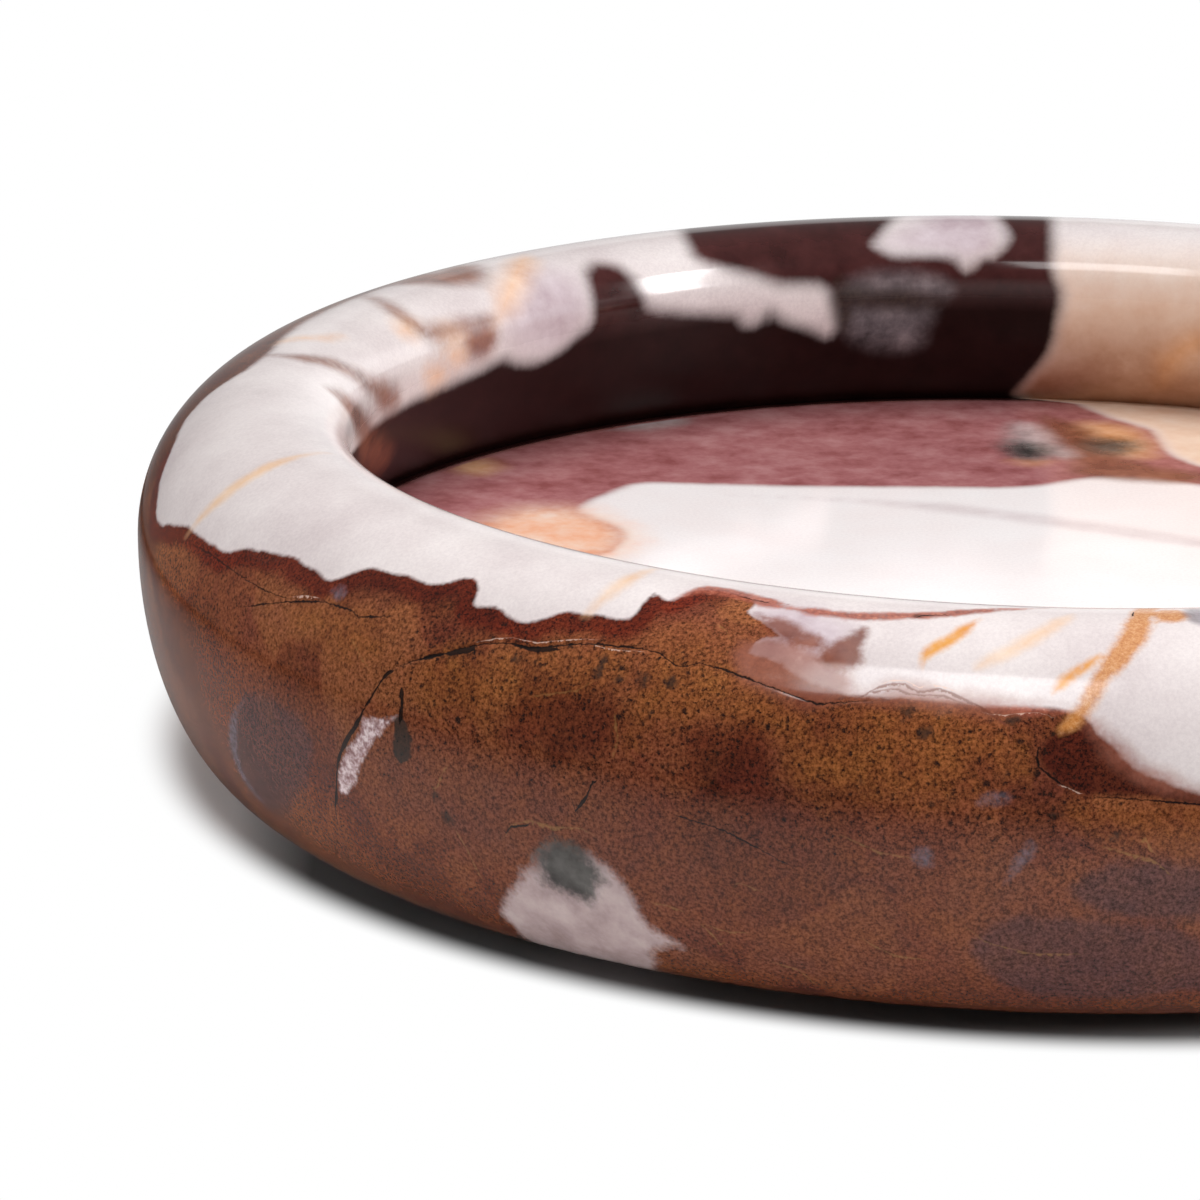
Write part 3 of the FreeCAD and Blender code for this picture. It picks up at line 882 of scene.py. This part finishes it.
def addGround(tree, place, patterns):
    # Jasper ground: warm brown clouds, then healed fragments a few mm wide, each a little lighter or darker
    look = stoneGround
    ground = addNode(tree, "ValToRGB", {}, [patterns["cloud"]], look["colours"])
    scale = 1 / (look["bitSize"] * mm)
    warp = addNode(tree, "TexNoise", {}, {"Vector": place, "Scale": scale, "Detail": look["bitDetail"]})
    bend = addNode(tree, "Mix", placeMix, {0: look["crumple"] * mm, 4: place, 5: warp.outputs["Color"]})
    bits = addNode(tree, "TexVoronoi", {"feature": "SMOOTH_F1"},
                   {"Vector": bend, "Scale": scale, "Smoothness": look["bitSoft"]})
    shift = addNode(tree, "SeparateColor", {}, [bits.outputs["Color"]])
    bitTone = addNode(tree, "ValToRGB", {}, [shift], look["bitTones"])
    return addNode(tree, "Mix", colourMix, {0: look["bitShow"], 6: ground, 7: bitTone})


def addGrain(tree, under, patterns):
    look = stoneGround
    fine = addNode(tree, "ValToRGB", {}, [patterns["grain"]], look["grainTones"])
    show = addNode(tree, "MapRange", {}, [readField(tree, "speck"), *look["grainSpan"], *look["grainShow"]])
    tone = addNode(tree, "Mix", colourMix, {0: show, 6: hexToLinear(look["grainMean"]), 7: fine})
    return addNode(tree, "Mix", {"data_type": "RGBA", "blend_type": "MULTIPLY"}, {0: 1.0, 6: under, 7: tone})


def makeStoneMaterial():
    material = bpy.data.materials.new("polishedBreccia")
    tree = newTree(material)
    place = addNode(tree, "TexCoord").outputs["Object"]
    patterns = {}
    for name, look in stonePatterns.items():
        patterns[name] = addNode(tree, "TexNoise", {}, {
            "Vector": place, "Scale": 1 / (look["size"] * mm), "Detail": look["detail"],
            "Roughness": look["roughness"]})
    patterns["shake"] = patterns["grain"].outputs["Color"]    # the finest shakes the speck outlines
    patterns["cloudy"] = readField(tree, "cloudy")
    # Ragged edge in mm: round lobes with a finer fringe on them, calmer where the markings are cloudy.
    fringe, wobble = stoneEdges["fringe"], stoneEdges["wobble"]
    lobes = addNode(tree, "Math", timesPlus, [patterns["fringe"], fringe, patterns["lobe"]])
    rough = addNode(tree, "Math", minus, [lobes, (1 + fringe) / 2])
    calm = addNode(tree, "MapRange", {}, {
        "Value": patterns["cloudy"], "To Min": 1.0, "To Max": stoneEdges["farCalm"]})
    patterns["ragged"] = addNode(tree, "Math", times, [rough, calm])
    patterns["wobble"] = addNode(tree, "Math", timesPlus, [patterns["fringe"], wobble, -wobble / 2])
    colour = addGround(tree, place, patterns)
    for row in jasperLayers:
        colour = addLayer(tree, colour, row, patterns)[0]
    colour = addGrain(tree, colour, patterns)
    for look in stoneSpecks:
        colour = addSpecks(tree, colour, place, patterns, look)
    for row in stoneLayers:
        colour, white = addLayer(tree, colour, row, patterns)
    for row in calciteLayers:
        colour = addLayer(tree, colour, row, patterns, white)[0]
    for row in overLayers:
        colour = addLayer(tree, colour, row, patterns)[0]
    for kind, lines in strokes.items():
        look = dict(zip(strokeParts, strokeLooks[kind]))
        for axis in (0, 1):
            alike = [line for line in lines if isSteep(line[1]) == (axis == 1)]
            for lane in packLanes(alike, axis):
                colour = addLane(tree, colour, lane, axis, look, patterns)
    honed = readField(tree, "honed")
    polish = addNode(tree, "MapRange", {}, {
        "Value": honed, "To Min": stoneFinish["polished"], "To Max": stoneFinish["honed"]})
    sheen = addNode(tree, "Math", timesPlus, [patterns["blotch"], stoneFinish["uneven"], polish])
    bright, dull = (hexToLinear(tone) for tone in stoneFinish["shine"])
    shine = addNode(tree, "Mix", colourMix, {0: honed, 6: bright, 7: dull})
    surface = addNode(tree, "BsdfPrincipled", {}, {
        "Base Color": colour, "Roughness": sheen, "IOR": stoneFinish["ior"], "Specular Tint": shine})
    addNode(tree, "OutputMaterial", {}, {"Surface": surface})
    print("stone material:", len(tree.nodes), "nodes")
    return material


def buildStone():
    spots, faces, corner = spinStone(stoneShape)
    verts = np.stack([spots["x"], spots["y"], spots["z"]], axis=1) * mm
    stone = makeObject("stoneDish", verts.tolist(), faces, makeStoneMaterial())
    ends = np.empty(2 * len(stone.data.edges), np.int32)
    stone.data.edges.foreach_get("vertices", ends)
    sharp = ((ends >= corner[0]) & (ends < corner[1])).reshape(-1, 2).all(axis=1)
    stone.data.edges.foreach_set("use_edge_sharp", sharp)
    for name, values in readMarks(spots).items():
        field = stone.data.attributes.new(name, "FLOAT", "POINT")
        field.data.foreach_set("value", values.astype(np.float32))
    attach(stone, "root")
    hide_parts("stone_dish")
    print("stone dish:", len(verts), "points,", len(faces), "faces")


# Bumper feet: cast clear polyurethane, soft and a little cloudy, with rounded lower edges
footShape = {"edgeRadius": 0.45, "turns": 48, "roundSteps": 6, "taper": 0.4}
footFinish = {
    "hazeSize": 1.8,         # mm
    "hazeDetail": 3,
    "colours": [(0.35, "#dfe3e0"), (0.7, "#f2f4f2")],
    "dull": (0.12, 0.28),    # roughness where it is clearest and where it is cloudiest
    "ior": 1.49,
    "clear": 0.85,
}


def makeFootMaterial():
    look = footFinish
    material = bpy.data.materials.new("castClearPolyurethane")
    tree = newTree(material)
    place = addNode(tree, "TexCoord").outputs["Object"]
    haze = addNode(tree, "TexNoise", {}, {
        "Vector": place, "Scale": 1 / (look["hazeSize"] * mm), "Detail": look["hazeDetail"]})
    tint = addNode(tree, "ValToRGB", {}, [haze], look["colours"])
    dull = addNode(tree, "MapRange", {}, [haze, 0, 1, *look["dull"]])
    surface = addNode(tree, "BsdfPrincipled", {}, {
        "Base Color": tint, "Roughness": dull, "IOR": look["ior"], "Transmission Weight": look["clear"]})
    addNode(tree, "OutputMaterial", {}, {"Surface": surface})
    return material


def buildFeet():
    material = makeFootMaterial()
    edge, turns = footShape["edgeRadius"], footShape["turns"]
    bend = np.linspace(0, math.pi / 2, footShape["roundSteps"])
    names = sorted(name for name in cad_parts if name.startswith("bumper_foot"))
    for name in names:
        low, high = (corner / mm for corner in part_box(name))
        middle = (low + high) / 2
        top = (high.x - low.x) / 2
        lower = top - footShape["taper"]
        profile = [(lower - edge + edge * math.sin(b), low.z + edge - edge * math.cos(b)) for b in bend]
        profile += [(top, high.z)]
        verts, faces = [(middle.x * mm, middle.y * mm, low.z * mm)], []
        for r, z in profile:
            for k in range(turns):
                a = 2 * math.pi * k / turns
                verts.append(((middle.x + r * math.cos(a)) * mm, (middle.y + r * math.sin(a)) * mm, z * mm))
        verts.append((middle.x * mm, middle.y * mm, high.z * mm))
        last = 1 + (len(profile) - 1) * turns
        for k in range(turns):
            n = (k + 1) % turns
            faces.append((0, 1 + n, 1 + k))
            for a in range(1, last, turns):
                b = a + turns
                faces.append((a + k, a + n, b + n, b + k))
            faces.append((last + k, last + n, len(verts) - 1))
        foot = makeObject(name.replace("_", ""), verts, faces, material)
        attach(foot, "root")
        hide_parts(name)
    print("bumper feet:", len(names))


# Stage: a round turntable of matt white acrylic, not much wider than the dish, that the eye takes for plain
# white outside the shadow; a small lamp close by, soft panels and a dim room
stageSetup = {
    "radius": 92.0,          # mm
    "sides": 96,
    "seenSpan": (-48.0, -14.0),       # mm across: the eye sees it with painted shade in the shadow, deepest at the front left and lightest where the shadow runs out on the left
    # lightest where the shadow runs out on the left
    "seen": [(0, 1), (0.11, 1), (0.18, 0.55), (0.25, 0.17), (0.4, 0.16), (0.7, 0.38), (1, 0.52)],
    "bounced": 1.05,         # what it throws back on to the wall
    "mirrored": 0.3,         # and what shows in the polish
    "dimFrom": 64.0,         # mm from the middle: its reflection ends softly
    "leftShare": 0.75,       # how much of that is left on the dimmer left side
    "leftSpan": (-80.0, -48.0),
    "fadeMiddle": (2.1, 5.6, 0.0),    # mm: the shadow lies a little behind the middle of the dish
    "fadeSpan": (49.6, 52.9),         # mm from there: the shadow ends and plain white begins
}
lamps = [
    {"name": "keyLamp", "place": (-25, -83, 125), "aim": (0, 0, 15), "size": (64, 52), "watts": 0.05},
    {"name": "rightCard", "place": (120, -18, 110), "aim": (-20, 33, 19), "size": (26, 120), "roll": -21.7,
     "watts": 0.14, "lights": False},
    {"name": "skyPanel", "place": (20, 60, 900), "aim": (0, 0, 10), "size": (700, 700), "watts": 5.6,
     "mirrored": False},
    {"name": "leftPanel", "place": (-380, 140, 80), "aim": (0, 0, 10), "size": (260, 160), "watts": 0.9,
     "mirrored": False},
    {"name": "rightPanel", "place": (350, -220, 310), "aim": (0, 0, 10), "size": (320, 320), "watts": 1.7,
     "mirrored": False},
]
roomLight = {
    "low": 1.15,             # strength low behind the dish,
    "left": 0.1,             # on the left there,
    "high": 0.15,            # above it
    "front": 0.09,           # and on the viewer's side
    "sideways": (-0.35, 0.4),     # directions in which one goes over into the other
    "upward": (0.25, 0.36),
    "backward": (-0.35, 0.25),
    "lean": 0.6,             # how far the border to the viewer's side leans over
}


def buildFloor():
    setup = stageSetup
    channels = ("Red", "Green", "Blue")
    radius, dimFrom = setup["radius"] * mm, setup["dimFrom"] * mm
    spans = {name: [side * mm for side in setup[name]] for name in ("seenSpan", "leftSpan", "fadeSpan")}
    turns = [2 * math.pi * k / setup["sides"] for k in range(setup["sides"])]
    rim = [(radius * math.cos(a), radius * math.sin(a), 0) for a in turns]
    material = bpy.data.materials.new("mattWhiteAcrylic")
    tree = newTree(material)
    path = addNode(tree, "LightPath")
    place = addNode(tree, "TexCoord").outputs["Object"]
    away = addNode(tree, "VectorMath", {"operation": "LENGTH"}, [place])
    dim = addNode(tree, "MapRange", smooth, [away, dimFrom, radius, setup["mirrored"], 0.0])
    across = addNode(tree, "SeparateXYZ", {}, [place])
    left = addNode(tree, "MapRange", smooth, [across, *spans["leftSpan"], setup["leftShare"]])
    level = addNode(tree, "Math", times, [dim, left])
    shine = addNode(tree, "CombineColor", {}, {name: level for name in channels})
    mirrored = addNode(tree, "Mix", colourMix, {
        0: path.outputs["Is Glossy Ray"], 6: [setup["bounced"]] * 3 + [1], 7: shine})
    # painted shade: the eye sees the turntable darker in the shadow, most at the front left
    share = addNode(tree, "MapRange", {}, [across, *spans["seenSpan"]])
    shade = addNode(tree, "FloatCurve", {}, {"Value": share}, curve=setup["seen"])
    grey = addNode(tree, "CombineColor", {}, {name: shade for name in channels})
    seen = addNode(tree, "Mix", colourMix, {0: path.outputs["Is Camera Ray"], 6: mirrored, 7: grey})
    lit = addNode(tree, "BsdfDiffuse", {}, {"Color": seen})
    plain = addNode(tree, "Emission", {}, {"Color": plainWhite, "Strength": 1.0})
    apart = addNode(tree, "VectorMath", {"operation": "DISTANCE"},
                    [place, [side * mm for side in setup["fadeMiddle"]]])
    fade = addNode(tree, "MapRange", smooth, [apart, *spans["fadeSpan"]])
    far = addNode(tree, "Math", times, [fade, path.outputs["Is Camera Ray"]])
    sheet = addNode(tree, "MixShader", {}, [far, lit, plain])
    addNode(tree, "OutputMaterial", {}, {"Surface": sheet})
    floor = makeObject("turntable", rim, [tuple(range(len(rim)))], material)


def buildRoom():
    # Bright and low behind the dish, dimmer above and to the left, dark on the viewer's side
    setup = roomLight
    world = bpy.data.worlds.new("dimRoom")
    bpy.context.scene.world = world
    tree = newTree(world)
    path = addNode(tree, "LightPath")
    look = addNode(tree, "TexCoord").outputs["Generated"]
    way = addNode(tree, "SeparateXYZ", {}, [look]).outputs
    side = addNode(tree, "MapRange", smooth, [way["X"], *setup["sideways"], setup["left"], setup["low"]])
    upper = addNode(tree, "MapRange", smooth, [way["Z"], *setup["upward"]])
    back = addNode(tree, "Mix", levelMix, {0: upper, 2: side, 3: setup["high"]})
    lean = addNode(tree, "Math", timesPlus, [way["Z"], setup["lean"], way["Y"]])
    behind = addNode(tree, "MapRange", smooth, [lean, *setup["backward"]])
    room = addNode(tree, "Mix", levelMix, {0: behind, 2: setup["front"], 3: back})
    clear = addNode(tree, "Math", {"operation": "MAXIMUM"},
                    [path.outputs["Is Camera Ray"], path.outputs["Is Transmission Ray"]])
    strength = addNode(tree, "Mix", levelMix, {0: clear, 2: room, 3: 1.0})
    light = addNode(tree, "Background", {}, {"Color": plainWhite, "Strength": strength})
    addNode(tree, "OutputWorld", {}, {"Surface": light})


def buildLamps():
    for setup in lamps:
        data = bpy.data.lights.new(setup["name"], "AREA")
        data.shape = "RECTANGLE"
        data.size, data.size_y = (side * mm for side in setup["size"])
        data.energy = setup["watts"]
        lamp = bpy.data.objects.new(setup["name"], data)
        bpy.context.scene.collection.objects.link(lamp)
        place, aim = Vector(setup["place"]) * mm, Vector(setup["aim"]) * mm
        lamp.location = place
        lamp.rotation_mode = "QUATERNION"
        roll = Quaternion((0, 0, 1), math.radians(setup.get("roll", 0)))
        lamp.rotation_quaternion = (aim - place).to_track_quat("-Z", "Y") @ roll
        lamp.visible_camera = False
        lamp.visible_glossy = setup.get("mirrored", True)
        lamp.visible_diffuse = setup.get("lights", True)


# Camera: a long lens close to the table, a little left of the dish's middle
cameraSetup = {"place": (-24.5, -342.9, 110.0), "pitch": 16.41, "roll": 0.704, "lens": 193.15, "sensor": 36.0}


def buildCamera():
    data = bpy.data.cameras.new("longLens")
    data.lens = cameraSetup["lens"]
    data.sensor_width = cameraSetup["sensor"]
    camera = bpy.data.objects.new("longLens", data)
    bpy.context.scene.collection.objects.link(camera)
    turn = Euler((math.radians(90 - cameraSetup["pitch"]), 0, 0)).to_matrix()
    turn = turn @ Matrix.Rotation(math.radians(cameraSetup["roll"]), 3, "Z")
    camera.matrix_world = Matrix.Translation(Vector(cameraSetup["place"]) * mm) @ turn.to_4x4()
    bpy.context.scene.camera = camera


buildStone()
buildFeet()
buildFloor()
buildRoom()
buildLamps()
buildCamera()
bpy.context.scene.view_settings.view_transform = "Standard"
print("stage, lamps and camera set")
